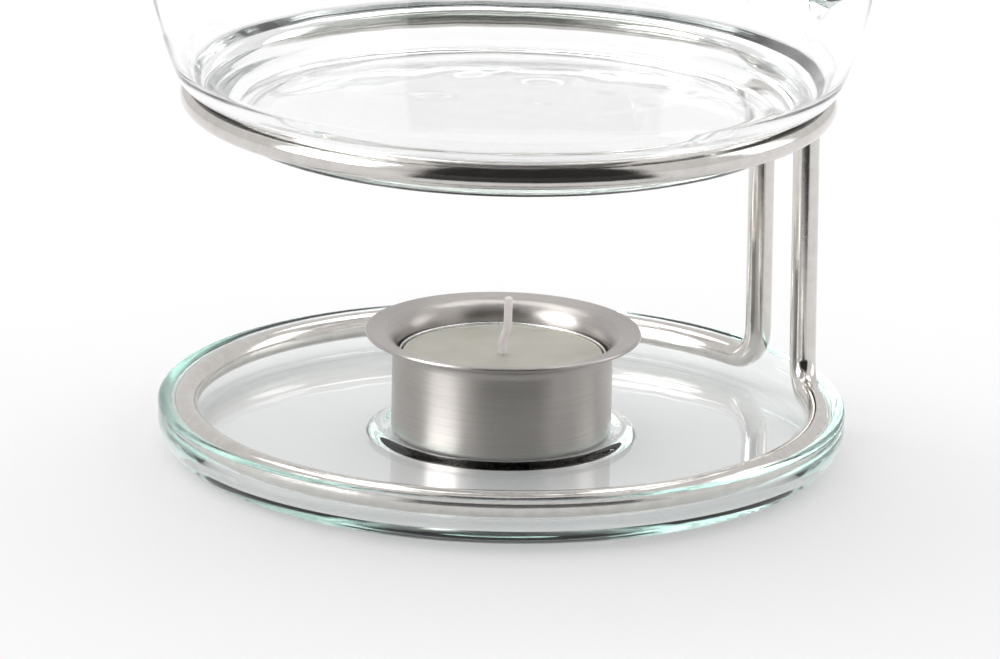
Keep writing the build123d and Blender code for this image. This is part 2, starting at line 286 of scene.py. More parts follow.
def tint(nodes, links, value, low, high, low_at=0.3, high_at=0.7):
    """A 0 to 1 value turned into a colour between two."""
    ramp = nodes.new("ShaderNodeValToRGB")
    ramp.color_ramp.elements[0].position = low_at
    ramp.color_ramp.elements[0].color = (*low, 1)
    ramp.color_ramp.elements[1].position = high_at
    ramp.color_ramp.elements[1].color = (*high, 1)
    links.new(value, ramp.inputs["Fac"])
    return ramp.outputs["Color"]


def bump(nodes, links, shader, height, strength, distance):
    """Puts bump from a height value into a shader's normal."""
    node = nodes.new("ShaderNodeBump")
    node.inputs["Strength"].default_value = strength
    node.inputs["Distance"].default_value = distance
    links.new(height, node.inputs["Height"])
    links.new(node.outputs["Normal"], shader.inputs["Normal"])


def glass_material(name, ior, body_colour, density, waviness, edge_shadow):
    """Clear glass: slightly wavy surface, faint film of handling, colour only in its depth.
    Shadow rays and diffuse rays pass straight through it, dimmed where they only graze it."""
    made, nodes, links, shader, output = material(name)
    shader.inputs["Transmission Weight"].default_value = 1.0
    shader.inputs["IOR"].default_value = ior
    shader.inputs["Base Color"].default_value = (1, 1, 1, 1)
    vector = object_vector(nodes, links)
    film = noise_node(nodes, links, vector, 55, 4)
    links.new(spread(nodes, links, film, 0.0, 0.012), shader.inputs["Roughness"])
    waves = noise_node(nodes, links, vector, 38, 2)
    bump(nodes, links, shader, waves, waviness, 0.002)
    depth = nodes.new("ShaderNodeVolumeAbsorption")
    depth.inputs["Color"].default_value = (*body_colour, 1)
    depth.inputs["Density"].default_value = density
    links.new(depth.outputs["Volume"], output.inputs["Volume"])
    facing = nodes.new("ShaderNodeLayerWeight")
    facing.inputs["Blend"].default_value = 0.4
    clear = nodes.new("ShaderNodeBsdfTransparent")
    shadow = tint(nodes, links, facing.outputs["Facing"], (0.99, 0.99, 0.99), edge_shadow, 0.7, 1.0)
    links.new(shadow, clear.inputs["Color"])
    path = nodes.new("ShaderNodeLightPath")
    lit = nodes.new("ShaderNodeMath")
    lit.operation = "MAXIMUM"
    links.new(path.outputs["Is Shadow Ray"], lit.inputs[0])
    links.new(path.outputs["Is Diffuse Ray"], lit.inputs[1])
    mix = nodes.new("ShaderNodeMixShader")
    links.new(lit.outputs[0], mix.inputs[0])
    links.new(shader.outputs["BSDF"], mix.inputs[1])
    links.new(clear.outputs["BSDF"], mix.inputs[2])
    links.new(mix.outputs["Shader"], output.inputs["Surface"])
    return made


def wire_material():
    """Drawn and polished stainless wire: warm grey, fine lines along and light handling marks."""
    made, nodes, links, shader, _ = material("polished_wire")
    shader.inputs["Metallic"].default_value = 1.0
    vector = object_vector(nodes, links)
    mottle = noise_node(nodes, links, vector, 320, 5, 0.65)
    shader_colour = tint(nodes, links, mottle, (0.60, 0.575, 0.545), (0.70, 0.68, 0.65))
    links.new(shader_colour, shader.inputs["Base Color"])
    cloud = noise_node(nodes, links, vector, 90, 4)
    links.new(spread(nodes, links, cloud, 0.08, 0.15), shader.inputs["Roughness"])
    fine = noise_node(nodes, links, object_vector(nodes, links, (1, 1, 9)), 900, 3, 0.6)
    bump(nodes, links, shader, fine, 0.12, 0.0001)
    return made


def brushed_material(name, dark, light, low_rough, high_rough, lines, anisotropy):
    """Steel brushed round the axis: lines round the surface and a stretched highlight."""
    made, nodes, links, shader, _ = material(name)
    shader.inputs["Metallic"].default_value = 1.0
    shader.inputs["Anisotropic"].default_value = anisotropy
    shader.inputs["Anisotropic Rotation"].default_value = 0.25
    vector = turned_vector(nodes, links, 60, lines)
    streaks = noise_node(nodes, links, vector, 1.0, 5, 0.7)
    links.new(tint(nodes, links, streaks, dark, light, 0.25, 0.75), shader.inputs["Base Color"])
    links.new(spread(nodes, links, streaks, low_rough, high_rough), shader.inputs["Roughness"])
    bump(nodes, links, shader, streaks, 0.25, 0.00006)
    tangent = nodes.new("ShaderNodeTangent")
    tangent.direction_type = "RADIAL"
    tangent.axis = "Z"
    links.new(tangent.outputs["Tangent"], shader.inputs["Tangent"])
    return made


def aluminium_material():
    """Thin bright foil with a faint orange peel."""
    made, nodes, links, shader, _ = material("tealight_foil")
    shader.inputs["Metallic"].default_value = 1.0
    vector = object_vector(nodes, links)
    grain = noise_node(nodes, links, vector, 700, 4)
    links.new(tint(nodes, links, grain, (0.80, 0.80, 0.79), (0.90, 0.90, 0.89)), shader.inputs["Base Color"])
    links.new(spread(nodes, links, grain, 0.18, 0.34), shader.inputs["Roughness"])
    bump(nodes, links, shader, grain, 0.3, 0.0001)
    return made


def wax_material():
    """Paraffin wax: milky, light goes into it, with slow clouds and a waxy surface.  Its base colour is
    darkened as painted shade for the inside of the cup under the pot.
    """
    made, nodes, links, shader, _ = material("paraffin_wax")
    vector = object_vector(nodes, links)
    clouds = noise_node(nodes, links, vector, 130, 4)
    # Both wax colours are darker than the wax itself: painted shade for the inside of the cup under the pot.
    links.new(tint(nodes, links, clouds, (0.41, 0.40, 0.34), (0.49, 0.48, 0.42)), shader.inputs["Base Color"])
    shader.inputs["Subsurface Weight"].default_value = 0.6
    shader.inputs["Subsurface Radius"].default_value = (1.0, 0.9, 0.6)
    shader.inputs["Subsurface Scale"].default_value = 0.004
    links.new(spread(nodes, links, clouds, 0.38, 0.55), shader.inputs["Roughness"])
    skin = noise_node(nodes, links, vector, 420, 3)
    bump(nodes, links, shader, skin, 0.2, 0.0003)
    return made


def cotton_material():
    """Waxed cotton braid."""
    made, nodes, links, shader, _ = material("wick_cotton")
    vector = object_vector(nodes, links, (1, 1, 2))
    fibres = noise_node(nodes, links, vector, 1500, 4, 0.7)
    links.new(tint(nodes, links, fibres, (0.84, 0.80, 0.79), (0.95, 0.93, 0.92)), shader.inputs["Base Color"])
    shader.inputs["Roughness"].default_value = 0.75
    shader.inputs["Subsurface Weight"].default_value = 0.25
    shader.inputs["Subsurface Scale"].default_value = 0.001
    bump(nodes, links, shader, fibres, 0.5, 0.0002)
    return made


def table_material():
    """Pale matt table top."""
    made, nodes, links, shader, _ = material("pale_table")
    vector = object_vector(nodes, links)
    cloud = noise_node(nodes, links, vector, 3, 3)
    links.new(tint(nodes, links, cloud, (0.80, 0.80, 0.81), (0.82, 0.82, 0.83)), shader.inputs["Base Color"])
    shader.inputs["Roughness"].default_value = 0.9
    shader.inputs["Specular IOR Level"].default_value = 0.0
    return made


pot_glass_look = glass_material("borosilicate_glass", 1.47, (0.80, 0.93, 0.88), 6, 0.05, (0.60, 0.61, 0.61))
dish_glass_look = glass_material("green_edged_glass", 1.52, (0.42, 0.93, 0.80), 6, 0.03, (0.84, 0.89, 0.87))
wire_look = wire_material()
cup_look = brushed_material("brushed_cup", (0.38, 0.355, 0.34), (0.50, 0.475, 0.455), 0.26, 0.36, 5200, 0.75)
infuser_look = brushed_material(
    "infuser_steel", (0.58, 0.58, 0.58), (0.68, 0.68, 0.68), 0.22, 0.34, 2600, 0.4
)
foil_look = aluminium_material()
wax_look = wax_material()
cotton_look = cotton_material()


def dress(piece, look, slot, body, *nodes):
    """Gives a piece its material and body, and hides the CAD nodes it stands for; slot is not used."""
    piece.data.materials.clear()
    piece.data.materials.append(look)
    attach(piece, body)
    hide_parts(*nodes)


# ---- glass dish -------------------------------------------------------------------------------

dish_r = reach("base_plate")
dish_floor = 3.0
dish_wall = 2.5
outer_curve = 6.0
inner_curve = 4.9
inner_curve_r = dish_r - dish_wall - inner_curve
rim_z = 8.9
crown_rise = 0.7
bead_r = 23.2
bead_half_width = 1.9
bead_height = 0.9
bead_foot = 2.7
bead_softness = 1.15


def dish_outline():
    """The dish from the middle of its foot, out round the rim and back over the bead."""
    foot_r = dish_r - outer_curve
    inner_centre = (inner_curve_r, dish_floor + inner_curve)
    points = [(0, 0)] + line((0, 0), (foot_r, 0), 8)
    points += arc((foot_r, outer_curve), outer_curve, -90, 0, 22)[1:]
    points += line(points[-1], (dish_r, rim_z), 4)
    crown = (dish_r - dish_wall / 2, rim_z)
    turns = steps(0.2, pi, 12)
    points += [(crown[0] + dish_wall / 2 * cos(a), rim_z + crown_rise * sin(a)) for a in turns]
    points += arc(inner_centre, inner_curve, 0, -90, 18)
    points += line((inner_curve_r, dish_floor), (bead_r + bead_half_width + 1.0, dish_floor), 12)
    points += [(bead_r + x, dish_floor + bead_shape(x)) for x in steps(bead_foot, -bead_foot, 28)]
    points += line((bead_r - bead_half_width - 1.0, dish_floor), (0, dish_floor), 8)
    return points


def bead_shape(x):
    """Height of the pressed bead at a distance from its crest, with a soft foot."""
    return bead_height * (0.5 + 0.5 * cos(pi * min(1, abs(x) / bead_foot))) ** bead_softness


dish = lathe("glass_dish", dish_outline())
shade(dish, 60)
dress(dish, dish_glass_look, "dish_glass", "plate", "base_plate", "plate_bead")

# ---- wire frame -------------------------------------------------------------------------------

wire_r = 2.5
ring_low_z = bottom("wire_frame") + wire_r
ring_top_z = top("wire_frame") - wire_r
ring_low_r = 59.75
ring_top_r = 58.7
upright_angles = (51.7, 69.2)
bend_r = 6.5
bend_run = 7.0


def polar(radius, angle, z):
    """A point at a radius and an angle in degrees from +X, in millimetres."""
    return Vector((radius * cos(radians(angle)), radius * sin(radians(angle)), z))


def rounded(points, radii, count):
    """A route with its inner corners rounded by tangent arcs, each of its own radius."""
    route = [points[0]]
    for before, corner, after, radius in zip(points, points[1:], points[2:], radii):
        into, out = (before - corner).normalized(), (after - corner).normalized()
        half = into.angle(out) / 2
        run = radius / tan(half)
        centre = corner + (into + out).normalized() * (radius / sin(half))
        first, last = corner + into * run - centre, corner + out * run - centre
        sweep = first.angle(last)
        for i in range(count + 1):
            t = i / count
            turn = (first * sin((1 - t) * sweep) + last * sin(t * sweep)) / sin(sweep)
            route.append(centre + turn)
    route.append(points[-1])
    return route


def wire_route():
    """The closed loop of the wire's centre line."""
    offset = degrees(atan2(bend_run, ring_low_r))
    first, last = upright_angles[0] - offset, upright_angles[1] + offset
    low = [polar(ring_low_r, a, ring_low_z) for a in steps(last, first + 360, 300)]
    high = [polar(ring_top_r, a, ring_top_z) for a in steps(first + 360, last, 300)]

    def upright(angle, side):
        tangent = polar(1, angle + 90, 0) * side
        ends = polar(ring_low_r, angle, ring_low_z), polar(ring_top_r, angle, ring_top_z)
        corners = [ends[0], ends[0] + tangent * bend_run, ends[1] + tangent * bend_run, ends[1]]
        return rounded(corners, (bend_r, bend_r), 14)[1:-1]

    route = low + upright(first, 1) + high + upright(last, -1)[::-1]
    return [p * MM for p in route]


wire = tube("warmer_wire", wire_route(), wire_r * MM, sides=40, closed=True)
shade(wire, 60)
dress(wire, wire_look, "wire_steel", "frame", "wire_frame")

# ---- candle cup -------------------------------------------------------------------------------

cup_r = 20.8
cup_wall = 0.8
flare = 3.6
cup_z = bottom("candle_holder")
cup_top = top("candle_holder")
lip_r = reach("candle_holder")
lip_rise = 10.0
cup_foot = 1.2
cup_inner_foot = 0.6


def cup_outline():
    """The cup from the middle of its base, up its outside, over the lip and down inside."""
    bore = cup_r - cup_wall
    centre_r = bore + flare
    lean = radians(lip_rise)
    run = lip_r - 0.1 - centre_r + flare * sin(lean)
    centre = (centre_r, cup_top - flare * cos(lean) - run * sin(lean) / cos(lean) * 0.985)
    under = flare - cup_wall
    lip_mid = (lip_r - cup_wall * 0.5, cup_top - cup_wall * 0.5)
    points = [(0, cup_z)] + line((0, cup_z), (cup_r - cup_foot, cup_z), 6)
    points += arc((cup_r - cup_foot, cup_z + cup_foot), cup_foot, -90, 0, 8)[1:]
    points += line((cup_r, cup_z + cup_foot), (centre_r - under, centre[1]), 12)
    points += arc(centre, under, 180, 90 + lip_rise, 16)[1:]
    edge = arc(lip_mid, cup_wall * 0.5, lip_rise - 90, lip_rise + 90, 8)
    points += line(points[-1], edge[0], 6) + edge[1:]
    inner = arc(centre, flare, 90 + lip_rise, 180, 20)
    points += line(points[-1], inner[0], 6) + inner[1:]
    turn_z = cup_z + cup_wall + cup_inner_foot
    points += line(points[-1], (bore, turn_z), 12)
    points += arc((bore - cup_inner_foot, turn_z), cup_inner_foot, 0, -90, 6)[1:]
    points += line(points[-1], (0, cup_z + cup_wall), 6)
    return points


cup = lathe("candle_cup", cup_outline())
shade(cup, 50)
dress(cup, cup_look, "cup_steel", "holder", "candle_holder")

# ---- tealight ---------------------------------------------------------------------------------

shell_r = reach("tealight_shell")
shell_z = bottom("tealight_shell")
shell_top = top("tealight_shell")
foil = 0.22
flutes = 48
flute_depth = 0.09
wax_top = top("wax")
wax_floor = bottom("wax")


def flute(radius, height, angle):
    """Shallow pressed flutes round the shell's side, fading out at base and rim."""
    inside = min(1, max(0, (height - shell_z - 1.5) / 2), max(0, (shell_top - 2.0 - height) / 2))
    side = 1 if radius > shell_r - 1.2 else 0
    return (-flute_depth * max(0, inside) * side * (1 + cos(flutes * angle)), 0)


def shell_outline():
    """The aluminium cup with a rolled rim."""
    inner = shell_r - foil
    bead = foil * 0.9
    points = [(0, shell_z)] + line((0, shell_z), (shell_r - 1.0, shell_z), 5)
    points += arc((shell_r - 1.0, shell_z + 1.0), 1.0, -90, 0, 6)[1:]
    points += line((shell_r, shell_z + 1.0), (shell_r, shell_top - 2 * bead), 12)
    points += arc((shell_r - bead, shell_top - bead), bead, 0, 180, 8)
    points += line(points[-1], (inner - 0.1, shell_z + 1.0), 12)
    points += arc((inner - 0.9, shell_z + 1.0), 0.8, 0, -90, 6)[1:]
    points += line(points[-1], (0, shell_z + 0.2), 5)
    return points


shell = lathe("tealight_cup", shell_outline(), around=8 * flutes, ripple=flute)
shade(shell, 50)
dress(shell, foil_look, "shell_aluminium", "tealight", "tealight_shell")


def wax_ripple(radius, height, angle):
    """Slight unevenness of the set wax on its upper face."""
    if height < wax_top - 1:
        return (0, 0)
    place = Vector((radius * cos(angle), radius * sin(angle), 0)) * 0.16
    return (0, 0.10 * noise.noise(place) - 0.06)


def wax_outline():
    """The wax, dished a little, climbing at the shell and at the wick."""
    edge_r = shell_r - foil - 0.55
    points = [(0, wax_floor)] + line((0, wax_floor), (edge_r - 0.8, wax_floor), 4)
    points += line(points[-1], (edge_r, wax_floor + 0.8), 2)
    points += line(points[-1], (edge_r, wax_top - 0.02), 8)
    for r in steps(edge_r - 0.15, 0.95, 40):
        climb = 0.30 * 2.718 ** (-(edge_r - r) / 0.9) + 0.32 * 2.718 ** (-(r - 0.85) / 0.7)
        points.append((r, wax_top - 0.34 + min(0.32, climb)))
    points += [(0, wax_top - 0.02)]
    return points


wax = lathe("tealight_wax", wax_outline(), around=192, ripple=wax_ripple)
shade(wax, 50)
dress(wax, wax_look, "candle_wax", "tealight", "wax")

wick_r = 0.80
wick_top = top("wick")
wick_foot = bottom("wick")
wick_lean = 34.5


def wick_route():
    """The wick's line: straight in the wax, a kink above it, then leaning over."""
    corners = [
        Vector((0, 0, wick_foot)),
        Vector((0, 0, wax_top + 1.2)),
        polar(0.75, wick_lean, wax_top + 5.0),
        polar(0.90, wick_lean, wick_top - 0.1),
    ]
    return [p * MM for p in smooth_route(corners, 90)]


def smooth_route(corners, count):
    """Points of a smooth curve through the corners."""
    padded = [corners[0] * 2 - corners[1]] + corners + [corners[-1] * 2 - corners[-2]]
    route = []
    spans = len(corners) - 1
    for i in range(count + 1):
        s = min(i / count * spans, spans - 1e-9)
        k = int(s)
        t = s - k
        a, b, c, d = padded[k : k + 4]
        route.append(
            0.5
            * (
                2 * b
                + (c - a) * t
                + (2 * a - 5 * b + 4 * c - d) * t * t
                + (3 * b - a - 3 * c + d) * t**3
            )
        )
    return route


def braid(t, angle):
    """Three crossing strands, drawn in at the top where the wick was cut."""
    twist = 150 * t
    strands = abs(sin(1.5 * angle + twist)) * 0.5 + abs(sin(1.5 * angle - twist)) * 0.5
    cut = min(1, (1 - t) * 26 + 0.55)
    return (0.90 + 0.14 * strands) * cut


wick = tube("wick_braid", wick_route(), wick_r * MM, sides=36, swell=braid)
shade(wick, 70)
dress(wick, cotton_look, "wick_cotton", "tealight", "wick")

sustainer_z = bottom("wick_sustainer")
sustainer_r = reach("wick_sustainer")
sustainer_top = top("wick_sustainer")


def sustainer_outline():
    """Tinned disc with a crimped collar."""
    plate_z = sustainer_z + 0.3
    points = [(0, sustainer_z), (sustainer_r - 0.1, sustainer_z), (sustainer_r, sustainer_z + 0.15)]
    points += [(sustainer_r - 0.1, plate_z), (2.2, plate_z)]
    points += bezier((2.2, plate_z), (1.5, plate_z), (1.3, plate_z + 0.4), (1.25, plate_z + 1.2), 6)
    points += line(points[-1], (1.2, sustainer_top), 3)
    points += [(0.95, sustainer_top), (0.9, plate_z), (0, plate_z)]
    return points


sustainer = lathe("wick_disc", sustainer_outline(), around=96)
shade(sustainer, 40)
dress(sustainer, foil_look, "shell_aluminium", "tealight", "wick_sustainer")

# ---- pot: body, spout and handle are one piece of glass ---------------------------------------

wall = 2.0
base_z = bottom("pot_body")
rim_top = top("pot_neck")
belly_r = reach("pot_body")
belly_z = 103.3
wall_curve = 77.1
shoulder_curve = 55.0
punt = 0.8
foot_r = 51.3
foot_curve = 3.6
seat_gap = 0.3
heel_z = 73.2
neck_r = 40.0
neck_flare = 2.1
neck_rise = 5.4
lip_d = 3.0
floor_r = 46.0


def wall_r(z, inset=0.0):
    """Radius of the wall below the belly, less an inset along its normal."""
    return belly_r - wall_curve + sqrt((wall_curve - inset) ** 2 - (belly_z - z) ** 2)


def shoulder_r(z, inset=0.0):
    """Radius of the shoulder above the belly, less an inset along its normal."""
    return belly_r - shoulder_curve + sqrt((shoulder_curve - inset) ** 2 - (z - belly_z) ** 2)


shoulder_end = neck_r + neck_flare - (belly_r - shoulder_curve)
shoulder_z = belly_z + sqrt(shoulder_curve**2 - shoulder_end**2)
collar_z = shoulder_z + neck_rise


def outer_wall():
    """Outer section of the pot, from the middle of its base to the top of its collar."""
    points = [(foot_r * t, base_z + punt * (1 - t * t)) for t in steps(0, 1, 24)]
    points += arc((foot_r, base_z + foot_curve), foot_curve, -90, 0, 10)[1:]
    points += line(points[-1], (ring_top_r - wire_r - seat_gap, ring_top_z), 4)
    points += arc((ring_top_r, ring_top_z), wire_r + seat_gap, 180, 72, 14)[1:]
    heel = (wall_r(heel_z), heel_z)
    seat_end = points[-1]
    leave, arrive = (seat_end[0] + 1.0, seat_end[1] - 0.1), (heel[0] - 0.3, heel[1] - 1.1)
    points += bezier(seat_end, leave, arrive, heel, 10)
    points += [(wall_r(z), z) for z in steps(heel_z + 1, belly_z, 40)]
    points += [(shoulder_r(z), z) for z in steps(belly_z + 1.2, shoulder_z, 40)]
    start = points[-1]
    leave, arrive = (start[0] - 1.6, start[1] + 1.0), (neck_r, collar_z - 2.4)
    points += bezier(start, leave, arrive, (neck_r, collar_z), 12)
    return points


def inner_wall():
    """Inner section of the pot, from the top of its collar to the middle of its floor."""
    floor_z = base_z + wall
    bore = neck_r - wall
    end = (shoulder_r(shoulder_z, wall), shoulder_z)
    points = bezier((bore, collar_z), (bore, collar_z - 2.4), (end[0] - 1.6, end[1] + 1.0), end, 12)
    points += [(shoulder_r(z, wall), z) for z in steps(shoulder_z - 1, belly_z, 40)]
    low = heel_z + 2.6
    points += [(wall_r(z, wall), z) for z in steps(belly_z - 1.2, low, 36)]
    points += bezier(points[-1], (58.2, low - 4.6), (54.0, floor_z + 0.4), (floor_r, floor_z + 0.1), 22)
    points += [(floor_r * t, floor_z + 0.1 + punt * (1 - t * t)) for t in steps(0.96, 0, 24)]
    return points


def blown(radius, height, angle):
    """Slow unevenness of the hand-finished glass, strongest on the inner floor."""
    place = Vector((radius * cos(angle), radius * sin(angle), height)) * 0.06
    floor = height < base_z + 4 and height > base_z + wall * 0.8
    amount = 0.14 if floor and radius < 48 else 0.0
    fade = max(0, 1 - (radius / 50) ** 4)
    return (0, amount * fade * noise.noise(place * 1.6))


def pot_outline():
    """The whole wall as one closed section with a rolled lip."""
    bore = neck_r - wall
    lip_z = rim_top - lip_d / 2
    points = outer_wall()
    points += line(points[-1], (neck_r, lip_z - 1.1), 5)
    points += arc((neck_r, lip_z), lip_d / 2, -46, 90, 14)
    points += arc((bore + 0.9, rim_top - 0.9), 0.9, 90, 180, 5)
    points += line(points[-1], (bore, collar_z), 6)
    return points + inner_wall()


def cavity_outline():
    """The space inside the pot, used to trim what is fused on from outside."""
    inside = [(max(0, r - 0.02 if r > 1 else 0), z + 0.01) for r, z in inner_wall()[::-1]]
    return inside + [(neck_r - wall, rim_top + 5), (0, rim_top + 5)]


spout_wall = 1.8
spout_lip = 0.85
bore_beyond = 4
spout_sections = (
    ((-52, 97), 18, 17.5),
    ((-72, 105), 36, 13.5),
    ((-85, 118), 53, 10.2),
    ((-94, 134), 60, 8.2),
    ((-105, 151), 50, 7.4),
)


def spout_run(per_span):
    """The spout's centre line and its outer radius at each point, short of its lip."""
    line_points = [spout_sections[0][0]]
    for (p, tilt_p, _), (q, tilt_q, _) in zip(spout_sections, spout_sections[1:]):
        third = hypot(q[0] - p[0], q[1] - p[1]) / 3
        leave = (p[0] - third * cos(radians(tilt_p)), p[1] + third * sin(radians(tilt_p)))
        arrive = (q[0] + third * cos(radians(tilt_q)), q[1] - third * sin(radians(tilt_q)))
        line_points += bezier(p, leave, arrive, q, per_span)
    sizes = [Vector((section[2], 0, 0)) for section in spout_sections]
    radii = [size.x for size in smooth_route(sizes, per_span * (len(sizes) - 1))]
    return [Vector((x, 0, z)) for x, z in line_points][:-1], radii[:-1]


def spout_body(name, bore):
    """The spout's outside, or its bore carried on past the mouth, with a fire-polished lip."""
    points, radii = spout_run(18)
    mouth, tilt, mouth_r = spout_sections[-1]
    end = Vector((mouth[0], 0, mouth[1]))
    ahead = Vector((-cos(radians(tilt)), 0, sin(radians(tilt))))
    for a in steps(0, pi / 2, 8):
        points.append(end - ahead * spout_lip * (1 - sin(a)))
        radii.append(mouth_r - spout_lip * (1 - cos(a)))
        if bore:
            radii[-1] = mouth_r + spout_lip * (1 - cos(a))
    if bore:
        points.append(end + ahead * bore_beyond)
        radii.append(radii[-1])
        radii = [r - spout_wall for r in radii]
    return tube(name, [p * MM for p in points], [r * MM for r in radii], sides=112)


handle_r = 5.5
handle_route = ((60.0, 91.7), (84.0, 127.7), (111.0, 148.5), (100.0, 166.0), (38.0, 143.8))
handle_bends = (40.0, 11.0, 11.0)
handle_roots = (Vector((67.6, 0, 103.4)), Vector((49.5, 0, 147.9)))
root_swell = 2.1
root_length = 3.6


def even(route, step):
    """The same route with points no more than about a step apart."""
    points = [route[0]]
    for start, end in zip(route, route[1:]):
        parts = max(1, round((end - start).length / step))
        points += [start.lerp(end, i / parts) for i in range(1, parts + 1)]
    return points


def handle_body():
    """The solid glass rod of the handle, drawn out where it was fused to the wall."""
    corners = [Vector((x, 0, z)) for x, z in handle_route]
    route = even(rounded(corners, handle_bends, 30), 0.9)
    radii = []
    for point in route:
        swell = sum(exp(-(((point - root).length / root_length) ** 2)) for root in handle_roots)
        radii.append((handle_r + root_swell * swell) * MM)
    return tube("handle_rod", [p * MM for p in route], radii, sides=72)


def trimmed(piece):
    """Cuts away what reaches into the space inside the pot."""
    return combine(piece, lathe("pot_space", cavity_outline()), "DIFFERENCE")


pot = lathe("glass_pot", pot_outline(), ripple=blown)
combine(pot, trimmed(spout_body("spout_outside", False)), "UNION")
combine(pot, spout_body("spout_bore", True), "DIFFERENCE")
combine(pot, trimmed(handle_body()), "UNION")
shade(pot, 60)
pot_nodes = ("pot_body", "pot_shoulder", "pot_neck", "spout", "handle")
dress(pot, pot_glass_look, "borosilicate_glass", "pot", *pot_nodes)

# ---- infuser ----------------------------------------------------------------------------------

basket_r = reach("infuser_basket")
basket_wall = 0.6
basket_low = bottom("infuser_basket")
basket_high = top("infuser_basket")
hole_r = 0.66
hole_columns = 80
hole_rows = 20
hole_sides = 12


def perforated_tube(name, radius, wall, low, high):
    """A thin tube with staggered round holes right through it.  Each hole sits in a brick of
    the wall whose outline has as many points as the hole has sides."""
    mesh = bmesh.new()
    pitch = 2 * pi * radius / hole_columns
    row = pitch * sqrt(0.75)
    start = (low + high - hole_rows * row) / 2
    heights = [low] + [start + k * row / 2 for k in range(2 * hole_rows + 1)] + [high]
    quarters = 4 * hole_columns
    made = {}

    def on_wall(across, height, depth):
        a = 2 * pi * across / quarters
        r = (radius - wall * depth) * MM
        return mesh.verts.new((r * cos(a), r * sin(a), height * MM))

    def corner(across, up, depth):
        key = (across % quarters, up, depth)
        if key not in made:
            made[key] = on_wall(key[0], heights[up], depth)
        return made[key]

    brick = [(2, 0), (2, 1), (1, 1), (0, 1), (-1, 1), (-2, 1)]
    brick += [(-2, 0), (-2, -1), (-1, -1), (0, -1), (1, -1), (2, -1)]
    square = ((0, 0), (1, 0), (1, 1), (0, 1))
    for j in range(hole_rows):
        for i in range(hole_columns):
            across, up = 4 * i + 2 * (j % 2), 2 * j + 2
            rims = []
            for depth in (0, 1):
                rim = []
                for k in range(hole_sides):
                    a = 2 * pi * k / hole_sides
                    turned = across + hole_r * cos(a) * 4 / pitch
                    rim.append(on_wall(turned, heights[up] + hole_r * sin(a), depth))
                edge = [corner(across + x, up + y, depth) for x, y in brick]
                for k in range(hole_sides):
                    n = (k + 1) % hole_sides
                    mesh.faces.new((edge[k], edge[n], rim[n], rim[k]))
                rims.append(rim)
            for k in range(hole_sides):
                n = (k + 1) % hole_sides
                mesh.faces.new((rims[0][k], rims[0][n], rims[1][n], rims[1][k]))
    last = len(heights) - 1
    for across in range(quarters):
        for depth in (0, 1):
            for up in (0, last - 1):
                mesh.faces.new([corner(across + x, up + y, depth) for x, y in square])
        for up in (0, last):
            mesh.faces.new([corner(across + x, up, depth) for x, depth in square])
    bmesh.ops.recalc_face_normals(mesh, faces=mesh.faces)
    data = bpy.data.meshes.new(name)
    mesh.to_mesh(data)
    mesh.free()
    return new_object(name, data)


def perforated_disc(name, radius, low, high):
    """A thin disc with round holes through it in a triangular pattern."""
    mesh = bmesh.new()
    edges = []

    def loop(x, y, r, sides):
        ring = []
        for k in range(sides):
            a = 2 * pi * k / sides
            ring.append(mesh.verts.new(((x + r * cos(a)) * MM, (y + r * sin(a)) * MM, low * MM)))
        for k in range(sides):
            edges.append(mesh.edges.new((ring[k], ring[(k + 1) % sides])))

    loop(0, 0, radius, 180)
    pitch = 2 * pi * basket_r / hole_columns
    row = pitch * sqrt(0.75)
    reach_out = int(radius / row)
    for j in range(-reach_out, reach_out + 1):
        for i in range(-reach_out, reach_out + 1):
            x, y = (i + 0.5 * (j % 2)) * pitch, j * row
            if hypot(x, y) < radius - 3.2:
                loop(x, y, hole_r, hole_sides)
    bmesh.ops.triangle_fill(mesh, use_beauty=True, use_dissolve=False, edges=edges)
    raised = bmesh.ops.extrude_face_region(mesh, geom=mesh.faces[:])["geom"]
    moved = [v for v in raised if isinstance(v, bmesh.types.BMVert)]
    bmesh.ops.translate(mesh, verts=moved, vec=(0, 0, (high - low) * MM))
    bmesh.ops.recalc_face_normals(mesh, faces=mesh.faces)
    data = bpy.data.meshes.new(name)
    mesh.to_mesh(data)
    mesh.free()
    return new_object(name, data)


basket = perforated_tube("infuser_wall", basket_r, basket_wall, basket_low, basket_high)
shade(basket, 30)
dress(basket, infuser_look, "infuser_steel", "infuser", "infuser_basket")

floor_low = bottom("infuser_base")
basket_floor = perforated_disc("infuser_floor", reach("infuser_base"), floor_low, top("infuser_base"))
shade(basket_floor, 30)
dress(basket_floor, infuser_look, "infuser_steel", "infuser", "infuser_base")


def rim_outline():
    """The infuser's collar and the flange turned out from it, with a rounded edge."""
    flange_r, flange_top = reach("infuser_rim"), top("infuser_rim")
    low = bottom("infuser_rim")
    bore = basket_r - basket_wall
    half = 0.5
    turn_in, turn_out = 1.2, 0.6
    under = flange_top - 2 * half
    points = [(bore, low), (basket_r, low)]
    points += line(points[-1], (basket_r, under - turn_out), 8)
    points += arc((basket_r + turn_out, under - turn_out), turn_out, 180, 90, 6)[1:]
    points += line(points[-1], (flange_r - half, under), 6)
    points += arc((flange_r - half, flange_top - half), half, -90, 90, 10)[1:]
    points += line(points[-1], (bore + turn_in, flange_top), 6)
    points += arc((bore + turn_in, flange_top - turn_in), turn_in, 90, 180, 8)[1:]
    return points + line(points[-1], (bore, low), 8)[:-1]


infuser_rim = lathe("infuser_collar", rim_outline(), around=192)
shade(infuser_rim, 40)
dress(infuser_rim, infuser_look, "infuser_steel", "infuser", "infuser_rim")

# ---- lid --------------------------------------------------------------------------------------

lid_low = bottom("lid")
lid_crown = top("lid")
lid_r = reach("lid")
lid_edge = 2.2
lid_glass = 2.2
skirt_r = reach("lid_skirt")
skirt_low = bottom("lid_skirt")
knob_r = reach("lid_knob")
knob_z = top("lid_knob") - knob_r
stem_r = 9.0
shoulder_in = 2.6


